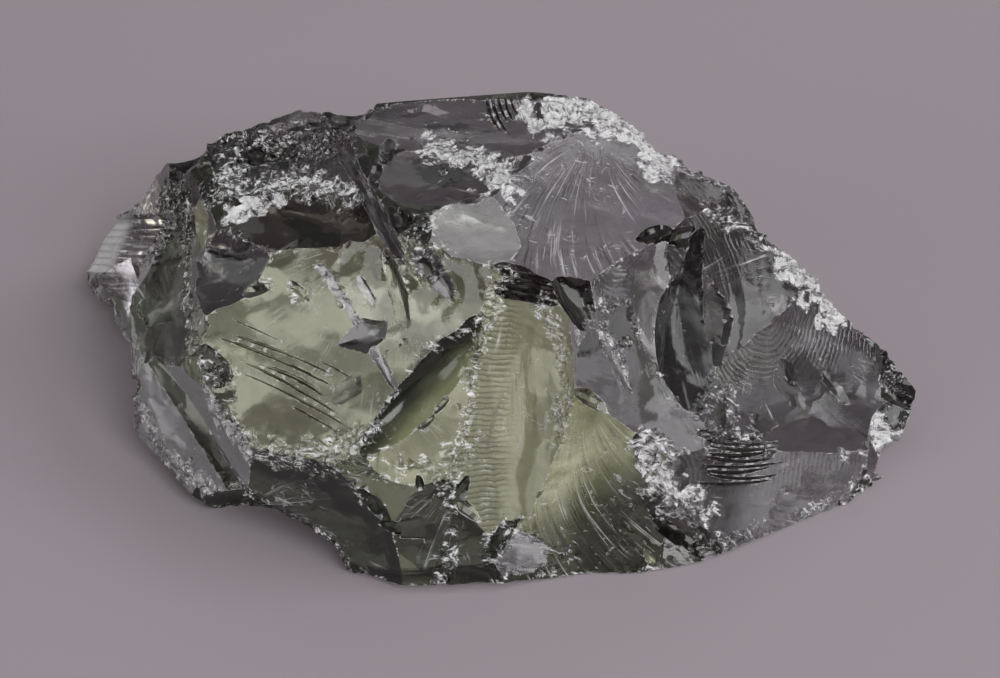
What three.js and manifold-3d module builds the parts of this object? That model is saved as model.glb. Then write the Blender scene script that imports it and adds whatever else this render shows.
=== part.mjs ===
// A fist-sized lump of clear grey-green glass, knapped rough. Millimetres, +Z up, standing on its
// flat broken base with the origin on that base, under the middle of the lump's box.
//
// The lump is worked as the real one was: a rough block is struck from many sides, and each blow
// takes a flake off and leaves a shallow hollow, a scar. Where two scars meet they leave a ridge.
import * as THREE from "three";
import { ConvexGeometry } from "three/addons/geometries/ConvexGeometry.js";
import { mergeVertices } from "three/addons/utils/BufferGeometryUtils.js";
import Module from "manifold-3d";

const wasm = await Module();
wasm.setup();

// Corners of the rough block before any flake is struck off, as x, y, z.
const blockCorners = [
  // base, counter-clockwise from the front
  [-18, -23.5, 0], [-2, -23.5, 0], [9, -22.2, 0], [22, -19, 0], [35, -13.2, 0], [43.5, -5.2, 0],
  [45, 4, 0], [38, 15, 0], [22, 25, 0], [-5, 31, 0], [-30, 33, 0], [-45, 28, 0], [-40.5, 5.5, 0],
  [-30, -13, 0],
  // waist
  [47, 3, 5], [46, -2, 8], [-40, 1, 9], [-39, -9.5, 6], [-50, 23.5, 5], [-48, 27, 9.5], [-40, 28, 20.5],
  // shoulder and top ridge, from the left round to the right
  [-35, 19.6, 27.4], [-28, 18, 32], [-19, 14, 32.4], [-10, 16, 34.6], [3, 15.5, 36.8], [13, 15.5, 35.8],
  [18.5, 14.5, 34.6], [26.3, 9, 25.6], [36, 8, 19], [41.8, 7.3, 13],
  // brow over the front
  [-38, 2, 20], [-30, -6, 26], [-20, -10, 30], [0, -11, 35], [13, -9, 34], [-22, -20, 16],
  [-6, -20, 22], [10, -19, 22], [24, -12, 22], [35.5, -7, 13],
];

// One scar: `at` is the middle of its mouth, `bearing` and `lift` aim it outwards (0 is the front,
// 90 the right; lift is above the horizon), `mouth` is its length and width, `turn` spins the
// length up from level, and `depth` is how far the hollow goes in.
const scars = {
  // front, left of the spine
  leftBowl: { at: [-17, -12, 23.5], bearing: -26, lift: 47, mouth: [30, 26], turn: 20, depth: 2.2 },
  lobe: { at: [-34.7, -8.6, 8.6], bearing: -47, lift: 10, mouth: [26, 18], turn: -10, depth: 0.6 },
  rimLeft: { at: [-36, 5.5, 21], bearing: -71, lift: 37, mouth: [26, 16], turn: -22, depth: 0.9 },
  lowLeft: { at: [-16.1, -21.5, 6.5], bearing: -22, lift: 2, mouth: [26, 20], turn: -10, depth: 1.2 },
  footFace: { at: [-6.5, -22.1, 9], bearing: 6, lift: 8, mouth: [17, 15], turn: -37, depth: 0.7 },
  greyFoot: { at: [-3.4, -22.8, 4.1], bearing: 14, lift: 20, mouth: [7, 4.5], turn: -5, depth: 0.5 },
  lensFace: { at: [-6, -18, 20], bearing: 3, lift: 32, mouth: [20, 12], turn: 55, depth: 1.2 },
  lens: { at: [-9.5, -17, 21.5], bearing: 8, lift: 38, mouth: [18, 7.5], turn: 44, depth: 2.6 },
  darkHollow: { at: [-24, 4.3, 31], bearing: -30, lift: 50, mouth: [20, 8.5], turn: 6, depth: 2.4 },
  crushedLeft: { at: [-24.5, 13, 31.9], bearing: -64, lift: 70, mouth: [36, 22], turn: 16, depth: 1.4 },
  wedge: { at: [-30.5, 0, 25], bearing: -50, lift: 50, mouth: [16, 8], turn: 20, depth: 1.2 },
  undercut: { at: [-22.8, -15.5, 1.8], bearing: -38, lift: -28, mouth: [14, 12], turn: 0, depth: 2.8 },
  // front, right of the spine
  ladder: { at: [1.5, -16.5, 18.5], bearing: 2, lift: 24, mouth: [38, 9], turn: 86, depth: 1.8 },
  fan: { at: [9, -19.3, 9.5], bearing: 10, lift: 12, mouth: [26, 16], turn: 80, depth: 1.1 },
  bigRight: { at: [14.5, -11, 22.5], bearing: 50, lift: 38, mouth: [26, 19], turn: 42, depth: 1.8 },
  right1: { at: [25, 0, 21], bearing: 49, lift: 46, mouth: [24, 16], turn: 15, depth: 1.4 },
  right2: { at: [33, -2.5, 12], bearing: 50, lift: 41, mouth: [32, 15], turn: -19, depth: 1.5 },
  lowRight: { at: [29, -14, 4.8], bearing: 30, lift: 19, mouth: [32, 16], turn: -10, depth: 0.8 },
  upperRight: { at: [20, 9, 30.6], bearing: 55, lift: 56, mouth: [16, 10], turn: 89, depth: 1 },
  tip: { at: [44, 3, 6.5], bearing: 75, lift: 50, mouth: [9, 7], turn: 20, depth: 0.9 },
  tipFoot: { at: [42.4, -3.4, 3.6], bearing: 62, lift: 24, mouth: [11, 7], turn: 30, depth: 1.4 },
  // top
  topFan: { at: [8.5, 1, 32.5], bearing: 60, lift: 66, mouth: [26, 18], turn: -28, depth: 1.4 },
  topLeftGrey: { at: [-6.5, 6, 35], bearing: -53, lift: 83, mouth: [19, 15], turn: 18, depth: 1.2 },
  paleStep: { at: [-1.5, -3.5, 34.2], bearing: 10, lift: 74, mouth: [14, 8], turn: -20, depth: 1 },
  topEdge: { at: [-9.5, 13, 34.7], bearing: -20, lift: 80, mouth: [26, 8], turn: 8, depth: 1.1 },
  topCorner: { at: [8.6, 13.4, 36.2], bearing: 40, lift: 76, mouth: [20, 8], turn: -20, depth: 1 },
  crownNotch: { at: [-17, 18, 33], bearing: -100, lift: 78, mouth: [10, 8], turn: 0, depth: 2.2 },
  // the low shelf behind the left end
  shelfStep: { at: [-34.8, 19, 26.8], bearing: -78, lift: 52, mouth: [10, 8], turn: 0, depth: 2 },
  shelf: { at: [-42, 17.5, 15.4], bearing: -83, lift: 29, mouth: [28, 20], turn: 50, depth: 1.2 },
  notch: { at: [-41.3, 11, 7], bearing: -72, lift: 8, mouth: [18, 15], turn: -20, depth: 1.9 },
  // the far side
  backHigh: { at: [-6, 20.8, 27.5], bearing: 176, lift: 24, mouth: [32, 24], turn: 0, depth: 1.8 },
  backMiddle: { at: [-10, 26, 13], bearing: 176, lift: 20, mouth: [36, 21], turn: 6, depth: 1.8 },
  backRight: { at: [19.4, 17.6, 20], bearing: 150, lift: 24, mouth: [32, 25], turn: 40, depth: 1.8 },
  backRightLow: { at: [13, 25, 7], bearing: 158, lift: 12, mouth: [32, 17], turn: 5, depth: 1.4 },
  backTip: { at: [34.3, 9.2, 15.3], bearing: 141, lift: 24, mouth: [26, 16], turn: 40, depth: 1.2 },
  backTipLow: { at: [34, 14.5, 6], bearing: 145, lift: 16, mouth: [24, 13], turn: 0, depth: 1.1 },
  backLeft: { at: [-25.3, 26.4, 19], bearing: -165, lift: 38, mouth: [28, 25], turn: -30, depth: 1.8 },
  backShelf: { at: [-39.3, 27.2, 14], bearing: -157, lift: 38, mouth: [22, 18], turn: -20, depth: 1.4 },
  backFoot: { at: [-27, 30.5, 5], bearing: 178, lift: 12, mouth: [36, 14], turn: 0, depth: 1.2 },
  // under the base, round its edge, so that the lump stands on the flat left in the middle
  baseFront: { at: [-6, -21, 0], bearing: -4, lift: -78, mouth: [30, 12], turn: 4, depth: 0.7 },
  baseRight: { at: [33, 0, 0], bearing: 70, lift: -82, mouth: [26, 14], turn: 50, depth: 0.8 },
  baseLeft: { at: [-38, 12, 0], bearing: -80, lift: -80, mouth: [28, 14], turn: 10, depth: 0.9 },
  baseBack: { at: [14, 24, 0], bearing: 165, lift: -80, mouth: [30, 12], turn: 0, depth: 0.8 },
};

// Small flakes and splits, struck last.
const splits = {
  spear: { at: [-14, 2, 33.6], bearing: -52, lift: 66, mouth: [36, 1.8], turn: -17, depth: 2.6 },
  spearTop: { at: [-16.9, 11, 32.6], bearing: -84.5, lift: 66.2, mouth: [20, 2], turn: 14, depth: 1.4 },
  darkWedge: { at: [18.3, -5.6, 20], bearing: 68, lift: 42, mouth: [19, 6], turn: 25, depth: 1 },
  darkHole: { at: [-25.6, 13.2, 30.1], bearing: -65, lift: 72, mouth: [8.5, 3.4], turn: 57, depth: 0.8 },
  eyeHigh: { at: [16.2, 1.4, 28.9], bearing: 38, lift: 55, mouth: [4.8, 1.9], turn: -3, depth: 0.7 },
  eyeLow: { at: [19.3, 3, 26.7], bearing: 50, lift: 45, mouth: [4.6, 1.9], turn: -20, depth: 0.6 },
  spineHole: { at: [8.2, -10.6, 28.3], bearing: 66, lift: 42, mouth: [10, 4], turn: -86, depth: 0.9 },
  lobeSplit: { at: [-32.6, -8, 11.6], bearing: -39, lift: 10, mouth: [20, 3], turn: -29, depth: 1.1 },
  darkFoot: { at: [15, -17, 13.6], bearing: 10, lift: 25, mouth: [5.2, 2.6], turn: -85, depth: 0.6 },
  footSplit: { at: [18.6, -17.4, 4.2], bearing: 20, lift: 20, mouth: [8, 2.6], turn: -50, depth: 0.6 },
};

// Combs: a blow that shivered on its way leaves a row of small level grooves. The first groove, the
// step from each to the next, and how many.
const combs = {
  shelfFlutes: {
    first: { at: [-43.9, 18.1, 9.8], bearing: -86, lift: 37, mouth: [14, 1.4], turn: 45, depth: 0.5 },
    step: [0.34, 0.66, 0.51], count: 7,
  },
  spineRungs: {
    first: { at: [2.4, -8.9, 32.6], bearing: 3, lift: 36, mouth: [4.4, 0.8], turn: -12, depth: 0.5 },
    step: [0.05, -0.28, -0.72], count: 5,
  },
};

// Chips knocked off the ridges, spread along them by their length.
const chips = {
  count: 70,
  sharpness: 24, // degrees between the faces that meet, at the least
  length: [2.5, 7], // shortest and longest mouth
  slimness: 0.45, // mouth width over its length
  depth: 0.18, // over the mouth length
  stray: 15, // degrees that its aim may stray from the ridge's
  floor: 0.5, // none is knocked off lower than this
  seed: 7,
};

const blockMiddle = [-1.2, 4.1]; // the middle of the lump's box, seen from above, where it was struck
const scarReach = 1.5; // how far out from its middle a hollow goes on rising, in half mouths
const flakeReach = 1.15 * scarReach; // and how wide the flake has grown at its top
const flakeHeight = 14; // what lies over a scar is gone to this height
const twoLobes = 0.07; // how far a mouth's radius swells and shrinks, in two lobes
const threeLobes = 0.05; // and in three
const facetSize = 2.8; // length of the flats round a hollow
const ringWidth = 4.5; // and their width across it, over the mouth length
const ringLimits = [1, 7]; // fewest and most rings of flats
const spokeLimits = [6, 24]; // fewest and most flats in a ring
const weldDistance = 1e-4; // corners nearer than this are one corner

const { degToRad, radToDeg, clamp, lerp } = THREE.MathUtils;
const worldUp = new THREE.Vector3(0, 0, 1);
const halfTurn = 180; // degrees

function outward({ bearing, lift }) {
  const b = degToRad(bearing);
  const l = degToRad(lift);
  return new THREE.Vector3(Math.sin(b) * Math.cos(l), -Math.cos(b) * Math.cos(l), Math.sin(l));
}

// A mouth is no true oval: its radius swells and shrinks a little round the edge.
function lobing(angle, phase) {
  return 1 + twoLobes * Math.sin(2 * angle + phase) + threeLobes * Math.sin(3 * angle - 2 * phase);
}

// The flake that leaves a scar: its underside is a shallow dish, z = -depth (1 - s^2).
function flakeGeometry({ at, mouth, depth }) {
  const [length, width] = mouth;
  const rings = clamp(Math.round(length / ringWidth), ...ringLimits);
  const spokes = clamp(Math.round((length + width) / facetSize), ...spokeLimits);
  const profile = [];
  for (let i = 0; i <= rings; i++) {
    const s = (scarReach * i) / rings;
    profile.push(new THREE.Vector2(s, -depth * (1 - s * s)));
  }
  profile.push(new THREE.Vector2(flakeReach, flakeHeight), new THREE.Vector2(0, flakeHeight));
  const dish = new THREE.LatheGeometry(profile, spokes).rotateX(Math.PI / 2);
  const position = dish.attributes.position;
  for (let i = 0; i < position.count; i++) {
    const x = position.getX(i);
    const y = position.getY(i);
    const swell = lobing(Math.atan2(y, x), at[0]);
    position.setXY(i, (x * swell * length) / 2, (y * swell * width) / 2);
  }
  return dish;
}

// Lays a flake with its length level across the scar's face, spun by `turn`.
function placed(geometry, scar) {
  const out = outward(scar);
  const across = new THREE.Vector3().crossVectors(worldUp, out).normalize();
  const up = new THREE.Vector3().crossVectors(out, across);
  geometry.rotateZ(degToRad(scar.turn));
  geometry.applyMatrix4(new THREE.Matrix4().makeBasis(across, up, out));
  return geometry.translate(...scar.at);
}

function solidOf(geometry) {
  const bare = geometry.clone();
  bare.deleteAttribute("normal");
  bare.deleteAttribute("uv");
  const merged = mergeVertices(bare, weldDistance);
  return new wasm.Manifold(new wasm.Mesh({
    numProp: 3,
    vertProperties: merged.attributes.position.array,
    triVerts: new Uint32Array(merged.index.array),
  }));
}

function geometryOf(solid) {
  const { vertProperties, triVerts } = solid.getMesh();
  const geometry = new THREE.BufferGeometry();
  geometry.setAttribute("position", new THREE.BufferAttribute(vertProperties, 3));
  geometry.setIndex(new THREE.BufferAttribute(triVerts, 1));
  return geometry;
}

function strike(solid, scar) {
  return solid.subtract(solidOf(placed(flakeGeometry(scar), scar)));
}

function* combed({ first, step, count }) {
  for (let i = 0; i < count; i++) {
    yield { ...first, at: first.at.map((value, axis) => value + i * step[axis]) };
  }
}

// Every ridge of a solid that a chip may come off: its two ends, and the way it points.
function ridgesOf(solid, { sharpness, floor }) {
  const { vertProperties, triVerts } = solid.getMesh();
  const corner = (index) => new THREE.Vector3().fromArray(vertProperties, 3 * index);
  const faceAt = new Map();
  const ridges = [];
  const least = Math.cos(degToRad(sharpness));
  for (let t = 0; t < triVerts.length; t += 3) {
    const ring = [triVerts[t], triVerts[t + 1], triVerts[t + 2]];
    const [a, b, c] = ring.map(corner);
    const normal = b.clone().sub(a).cross(c.clone().sub(a)).normalize();
    ring.forEach((from, k) => {
      const to = ring[(k + 1) % 3];
      const [start, end, inner] = [from, to, ring[(k + 2) % 3]].map(corner);
      const other = faceAt.get(`${to}-${from}`);
      const standsProud = other && other.dot(inner.sub(start)) < 0;
      if (standsProud && other.dot(normal) < least && Math.min(start.z, end.z) > floor) {
        ridges.push({ start, end, mean: other.clone().add(normal).normalize() });
      }
      faceAt.set(`${from}-${to}`, normal);
    });
  }
  return ridges;
}

// The same numbers between 0 and 1 each time, by Lehmer's rule.
const lehmerFactor = 48271;
const lehmerModulus = 2 ** 31 - 1;

function* seeded(seed) {
  let state = seed;
  while (true) {
    state = (state * lehmerFactor) % lehmerModulus;
    yield state / lehmerModulus;
  }
}

// Scars for the chips, each at a place picked along the ridges.
function chipScars(ridges, { count, length, slimness, depth, stray, seed }) {
  const random = seeded(seed);
  const draw = () => random.next().value;
  const strayed = () => stray * (2 * draw() - 1);
  const total = ridges.reduce((sum, { start, end }) => sum + start.distanceTo(end), 0);
  return Array.from({ length: count }, () => {
    let left = draw() * total;
    const ridge = ridges.find(({ start, end }) => (left -= start.distanceTo(end)) <= 0);
    const size = lerp(...length, draw() ** 2);
    return {
      at: ridge.start.clone().lerp(ridge.end, draw()).toArray(),
      bearing: radToDeg(Math.atan2(ridge.mean.x, -ridge.mean.y)) + strayed(),
      lift: radToDeg(Math.asin(ridge.mean.z)) + strayed(),
      mouth: [size, size * slimness],
      turn: halfTurn * draw(),
      depth: size * depth,
    };
  });
}

let lump = solidOf(new ConvexGeometry(blockCorners.map((c) => new THREE.Vector3(...c))));
for (const scar of Object.values(scars)) lump = strike(lump, scar);
for (const chip of chipScars(ridgesOf(lump, chips), chips)) lump = strike(lump, chip);
for (const split of Object.values(splits)) lump = strike(lump, split);
for (const comb of Object.values(combs)) {
  for (const groove of combed(comb)) lump = strike(lump, groove);
}

const glass = new THREE.MeshStandardMaterial({ color: 0x8d9080, roughness: 0.05, metalness: 0 });
const stone = new THREE.Mesh(geometryOf(lump), glass);
stone.name = "andara_crystal";
stone.position.set(-blockMiddle[0], -blockMiddle[1], 0);

const group = new THREE.Group();
group.add(stone);
export default group;
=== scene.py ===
import math
from functools import partial
import bmesh
import bpy
import numpy as np
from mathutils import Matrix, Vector, kdtree


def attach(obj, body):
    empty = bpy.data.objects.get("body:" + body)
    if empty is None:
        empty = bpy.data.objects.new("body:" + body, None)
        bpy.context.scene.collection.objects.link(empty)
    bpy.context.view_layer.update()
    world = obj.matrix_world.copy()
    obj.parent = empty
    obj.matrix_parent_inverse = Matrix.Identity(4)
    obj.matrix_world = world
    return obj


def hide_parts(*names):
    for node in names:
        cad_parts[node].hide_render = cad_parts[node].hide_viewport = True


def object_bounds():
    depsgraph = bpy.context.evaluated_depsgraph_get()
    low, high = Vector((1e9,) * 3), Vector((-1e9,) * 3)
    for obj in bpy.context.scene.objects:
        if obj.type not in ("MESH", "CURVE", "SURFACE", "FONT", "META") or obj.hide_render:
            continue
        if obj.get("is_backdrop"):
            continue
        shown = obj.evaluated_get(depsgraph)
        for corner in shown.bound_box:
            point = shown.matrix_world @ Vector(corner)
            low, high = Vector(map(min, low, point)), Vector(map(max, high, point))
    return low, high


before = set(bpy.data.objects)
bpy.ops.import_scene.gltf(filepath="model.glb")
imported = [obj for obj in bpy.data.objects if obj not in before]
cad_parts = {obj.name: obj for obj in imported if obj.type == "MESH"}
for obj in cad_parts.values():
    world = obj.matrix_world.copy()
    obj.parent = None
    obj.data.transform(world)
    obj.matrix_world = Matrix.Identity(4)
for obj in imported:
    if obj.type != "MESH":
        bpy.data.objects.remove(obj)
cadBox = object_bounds()

mm = 0.001

# The lump is knapped here as the solid is: a rough block, and a shallow dish for every flake struck
# off it. Millimetres, in the block's own frame; middle is what the frame's origin stands under.
block = {
    "middle": (-1.2, 4.1, 0.0),
    "tint": "darkOlive",
    "corners": [
        # round the base
        (-18, -23.5, 0), (-2, -23.5, 0), (9, -22.2, 0), (22, -19, 0), (35, -13.2, 0), (43.5, -5.2, 0),
        (45, 4, 0), (38, 15, 0), (22, 25, 0), (-5, 31, 0), (-30, 33, 0), (-45, 28, 0), (-40.5, 5.5, 0),
        (-30, -13, 0),
        # low on the ends and the ledge
        (47, 3, 5), (46, -2, 8), (-40, 1, 9), (-39, -9.5, 6), (-50, 23.5, 5), (-48, 27, 9.5),
        (-40, 28, 20.5),
        # along the crown
        (-35, 19.6, 27.4), (-28, 18, 32), (-19, 14, 32.4), (-10, 16, 34.6), (3, 15.5, 36.8),
        (13, 15.5, 35.8), (18.5, 14.5, 34.6), (26.3, 9, 25.6), (36, 8, 19), (41.8, 7.3, 13),
        # across the front
        (-38, 2, 20), (-30, -6, 26), (-20, -10, 30), (0, -11, 35), (13, -9, 34), (-22, -20, 16),
        (-6, -20, 22), (10, -19, 22), (24, -12, 22), (35.5, -7, 13),
    ],
}

# at is the middle of a scar's mouth. aim is its bearing (0 faces the front, 90 the right), its lift
# above the horizon, and how far its length turns up from level. mouth is its length and width, and
# depth how far in it goes. Those are the solid's own; then comes the finish of the break. blow is where
# on the rim the tool landed, in degrees round the mouth from its length. ripple, hackle and rungs are
# how strong the shell waves round that point are, the feather lines that run out from it, and the fine
# bars across them. corners makes the mouth angular, from 0 to 1, bend bows it, taper narrows one end,
# and curl turns the feather lines as they go. A whole one has no flats in it, and a painted highlight, a
# thin white line, along its rim however small it is. cell is the mesh's grain, and milk how cloudy it is
# just inside. The tint is the glass's colour there with painted shade in it: each break is lighter or
# darker for the tone it shows under the lamps. The shade setting is painted shade, darkening that tint
# across the face, and bleach makes it milkier there, partly a painted highlight: the way, in degrees
# from the length, where the change begins and ends, in mm from the middle, and how much tint or milk
# is left.
def scar(at, aim, mouth, depth, **finish):
    return dict(finish, at=at, aim=aim, mouth=mouth, depth=depth)


usual = dict(blow=0, ripple=0, hackle=0, corners=0, bend=0, taper=0, curl=0, rungs=0, milk=0, cell=0.3,
             whole=False, tint="clear")
usualScar = dict(usual, ripple=0.08, hackle=0.1, cell=0.36)
usualSplit = dict(usual, ripple=0.02, hackle=0.2, corners=0.9, tint="umber")

scars = {
    # front, left of the spine
    "leftBowl": scar((-17, -12, 23.5), (-26, 47, 20), (30, 26), 2.2, blow=70, ripple=0.05, hackle=0.06,
        tint="paleOlive", milk=0.3),
    "lobe": scar((-34.7, -8.6, 8.6), (-47, 10, -10), (26, 18), 0.6, blow=160, ripple=0.06, hackle=0.05,
        cell=0.4, tint="greyLilac", milk=0.1),
    "rimLeft": scar((-36, 5.5, 21), (-71, 37, -22), (26, 16), 0.9, blow=10, hackle=0.12, cell=0.4,
        tint="deepOlive"),
    # the darkest olives low on the front, here, on footFace and in the undercut, are painted shade near the
    # floor
    "lowLeft": scar((-16.1, -21.5, 6.5), (-22, 2, -10), (26, 20), 1.2, blow=200, hackle=0.05, cell=0.4,
        tint="blackOlive"),
    "footFace": scar((-6.5, -22.1, 9), (6, 8, -37), (17, 15), 0.7, blow=100, ripple=0.06,
        tint="nightOlive"),
    "greyFoot": scar((-3.4, -22.8, 4.1), (14, 20, -5), (7, 4.5), 0.5, ripple=0.03, hackle=0.03, corners=0.7,
        tint="smoke"),
    "lensFace": scar((-6, -18, 20), (3, 32, 55), (20, 12), 1.2, blow=90, ripple=0.03, hackle=0.12,
        tint="paleOlive", milk=0.6),
    # its upper-left side is darkened, a painted shade for the scoop's shadowed wall
    "lens": scar((-9.5, -17, 21.5), (8, 38, 44), (18, 7.5), 2.6, ripple=0.02, hackle=0, corners=0.35,
        whole=True, cell=0.3, tint="lightOlive", milk=1, shade=(90, -2.4, 0.8, 0.03)),
    # its brown is painted shade: the hollow is darkened for the shade it holds
    "darkHollow": scar((-24, 4.3, 31), (-30, 50, 6), (20, 8.5), 2.4, ripple=0.03, hackle=0.03, corners=0.6,
        whole=True, tint="brown"),
    "crushedLeft": scar((-24.5, 13, 31.9), (-64, 70, 16), (36, 22), 1.4, blow=90, ripple=0.12,
        tint="smoke"),
    "wedge": scar((-30.5, 0, 25), (-50, 50, 20), (16, 8), 1.2, blow=180, ripple=0.05, hackle=0.05,
        corners=0.7, whole=True, tint="smoke"),
    "undercut": scar((-22.8, -15.5, 1.8), (-38, -28, 0), (14, 12), 2.8, ripple=0.05, hackle=0.05, cell=0.5,
        tint="nightOlive"),
    # front, right of the spine
    # the ladder darkens downwards and the fan towards its lower right, painted shade
    "ladder": scar((1.5, -16.5, 18.5), (2, 24, 86), (38, 9), 1.8, ripple=0.05, hackle=0.08, rungs=1,
        whole=True, cell=0.34, tint="paleOlive", milk=0.7, shade=(180, 0, 14, 0.8)),
    "fan": scar((9, -19.3, 9.5), (10, 12, 80), (26, 16), 1.1, blow=10, ripple=0.04, hackle=0.6, curl=-0.25,
        whole=True, cell=0.22, tint="yellowOlive", milk=0.4, shade=(225, -4.5, 7, 0.03)),
    "bigRight": scar((14.5, -11, 22.5), (50, 38, 42), (26, 19), 1.8, blow=30, ripple=0.05, hackle=0.05,
        rungs=0.3, tint="lilac", milk=0.1),
    "right1": scar((25, 0, 21), (49, 46, 15), (24, 16), 1.4, blow=120, ripple=0.18, hackle=0.14, rungs=1,
        tint="darkLilac", milk=0.08),
    "right2": scar((33, -2.5, 12), (50, 41, -19), (32, 15), 1.5, blow=100, hackle=0.12, rungs=1.4,
        cell=0.38, tint="greyLilac", milk=0.08),
    # darker towards its left, painted shade
    "lowRight": scar((29, -14, 4.8), (30, 19, -10), (32, 16), 0.8, blow=150, ripple=0.05, rungs=0.8,
        cell=0.38, tint="lilac", milk=0.15, shade=(180, 0, 6, 0.3)),
    "upperRight": scar((20, 9, 30.6), (55, 56, 89), (16, 10), 1, hackle=0.12, cell=0.38, tint="lilac"),
    # pointed end
    "tip": scar((44, 3, 6.5), (75, 50, 20), (9, 7), 0.9, corners=0.6, cell=0.4, tint="umber"),
    "tipFoot": scar((42.4, -3.4, 3.6), (62, 24, 30), (11, 7), 1.4, corners=0.6, cell=0.4, tint="lilac"),
    # crown
    "topFan": scar((8.5, 1, 32.5), (60, 66, -28), (26, 18), 1.4, blow=60, ripple=0.04, hackle=0.3,
        curl=-0.1, rungs=0.1, whole=True, cell=0.28, tint="lilac", milk=0.25),
    "topLeftGrey": scar((-6.5, 6, 35), (-53, 83, 18), (19, 15), 1.2, blow=200, ripple=0.06, hackle=0.08,
        tint="lilac"),
    "paleStep": scar((-1.5, -3.5, 34.2), (10, 74, -20), (14, 8), 1, blow=180, ripple=0.03, hackle=0.08,
        corners=0.9, whole=True, milk=0.4),
    "topEdge": scar((-9.5, 13, 34.7), (-20, 80, 8), (26, 8), 1.1, blow=180, ripple=0.04, hackle=0.03,
        cell=0.4, tint="lilac", milk=0.1),
    "topCorner": scar((8.6, 13.4, 36.2), (40, 76, -20), (20, 8), 1, ripple=0.1, cell=0.4, tint="lilac"),
    # ledge and rim at the back left
    # its upper right strip is darkened, painted shade
    "shelf": scar((-42, 17.5, 15.4), (-83, 29, 50), (28, 20), 1.2, ripple=0.04, hackle=0.04, cell=0.42,
        milk=0.3, shade=(40, 3, 6, 0.2)),
    "notch": scar((-41.3, 11, 7), (-72, 8, -20), (18, 15), 1.9, blow=90, ripple=0.06, hackle=0.05, cell=0.5,
        tint="lilac"),
    "crownNotch": scar((-17, 18, 33), (-100, 78, 0), (10, 8), 2.2, ripple=0.04, hackle=0.05, corners=0.6,
        cell=0.4, tint="smoke"),
    "shelfStep": scar((-34.8, 19, 26.8), (-78, 52, 0), (10, 8), 2, ripple=0.04, hackle=0.05, corners=0.6,
        cell=0.4, tint="smoke"),
    # back
    "backHigh": scar((-6, 20.8, 27.5), (176, 24, 0), (32, 24), 1.8, blow=80, cell=0.6),
    "backMiddle": scar((-10, 26, 13), (176, 20, 6), (36, 21), 1.8, blow=60, hackle=0.12, cell=0.6),
    "backRight": scar((19.4, 17.6, 20), (150, 24, 40), (32, 25), 1.8, blow=100, cell=0.6),
    "backRightLow": scar((13, 25, 7), (158, 12, 5), (32, 17), 1.4, blow=200, ripple=0.07, cell=0.6),
    "backTip": scar((34.3, 9.2, 15.3), (141, 24, 40), (26, 16), 1.2, blow=20, cell=0.6),
    "backTipLow": scar((34, 14.5, 6), (145, 16, 0), (24, 13), 1.1, blow=150, ripple=0.07, cell=0.6),
    "backLeft": scar((-25.3, 26.4, 19), (-165, 38, -30), (28, 25), 1.8, blow=140, cell=0.6),
    "backShelf": scar((-39.3, 27.2, 14), (-157, 38, -20), (22, 18), 1.4, blow=40, ripple=0.07, hackle=0.08,
        cell=0.6),
    "backFoot": scar((-27, 30.5, 5), (178, 12, 0), (36, 14), 1.2, blow=170, ripple=0.07, hackle=0.08,
        cell=0.6),
    # round the base
    "baseFront": scar((-6, -21, 0), (-4, -78, 4), (30, 12), 0.7, blow=90, ripple=0.03, hackle=0.03,
        cell=0.8),
    "baseRight": scar((33, 0, 0), (70, -82, 50), (26, 14), 0.8, ripple=0.03, hackle=0.03, cell=0.8),
    "baseLeft": scar((-38, 12, 0), (-80, -80, 10), (28, 14), 0.9, ripple=0.03, hackle=0.03, cell=0.8),
    "baseBack": scar((14, 24, 0), (165, -80, 0), (30, 12), 0.8, ripple=0.03, hackle=0.03, cell=0.8),
}

# The face it rests on is a break too, and rolls a little.
rest = dict(usual, **scar((-2, 4, 0.05), (0, -89.9, 0), (92, 56), 0.12, blow=180, ripple=0.1, cell=0.8))

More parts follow.
